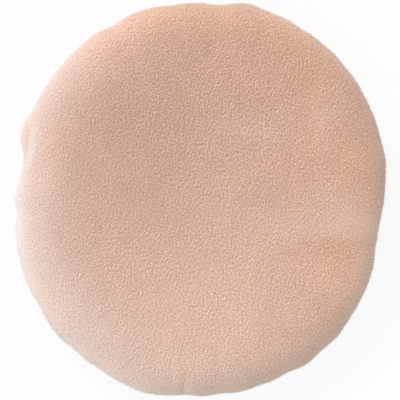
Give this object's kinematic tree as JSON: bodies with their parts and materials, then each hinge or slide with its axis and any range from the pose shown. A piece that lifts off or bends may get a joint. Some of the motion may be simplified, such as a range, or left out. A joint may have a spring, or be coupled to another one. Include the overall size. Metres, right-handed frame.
{
  "type": "powder puff",
  "caption": "Round velour powder puff with a gathered sewn rim, a foam core and a satin finger ribbon across its cupped back.",
  "frame": {"origin": "on the table under the middle of the puff, which lies on its back with the powder face up", "axes": "+Z out of the powder face, +X along the finger ribbon, +Y across it"},
  "size_m": [0.0763, 0.083, 0.017],
  "materials": {
    "velour": "short brushed pile, matt with a pale sheen at the rim",
    "foam": "open-cell polyurethane foam",
    "satin": "woven satin ribbon, soft lustre",
    "thread": "spun polyester sewing thread"
  },
  "bodies": {
    "root": {"face_cover": "velour", "back_cover": "velour", "foam_core": "foam", "finger_ribbon": "satin", "seam_thread": "thread", "closing_thread": "thread", "ribbon_tack_right": "thread", "ribbon_tack_left": "thread"}
  },
  "joints": []
}
